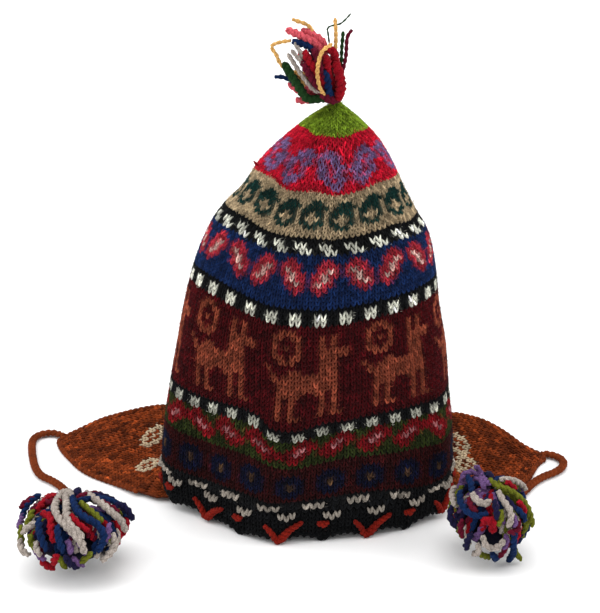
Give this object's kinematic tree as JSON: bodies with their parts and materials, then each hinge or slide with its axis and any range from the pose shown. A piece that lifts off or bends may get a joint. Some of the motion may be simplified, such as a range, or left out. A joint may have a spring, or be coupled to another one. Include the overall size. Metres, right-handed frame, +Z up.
{
  "type": "chullo hat",
  "caption": "Tall knitted chullo hat standing on its rim, hollow and open below, with laid-out earflaps, braided ties, pompoms and a top tassel.",
  "frame": {"origin": "on the table, at the middle of the hat's own footprint with its earflaps, without the ties and pompoms", "axes": "+Z up, +X to the right of someone looking at the front of the hat, -Y out of its front"},
  "size_m": [0.3935, 0.2337, 0.3403],
  "materials": {
    "crown_knit": "knitted patterned wool",
    "edging_knit": "knitted dark wool",
    "flap_knit": "knitted rust brown wool",
    "tie_braid": "braided rust brown wool",
    "pompom_yarn": "mixed cut wool yarn",
    "tassel_yarn": "mixed cut wool yarn"
  },
  "bodies": {
    "root": {"crown": "crown_knit", "rim_edging": "edging_knit", "earflap_left": "flap_knit", "earflap_right": "flap_knit", "tie_left": "tie_braid", "tie_right": "tie_braid", "pompom_left": "pompom_yarn", "pompom_right": "pompom_yarn", "top_tassel": "tassel_yarn"}
  },
  "joints": []
}
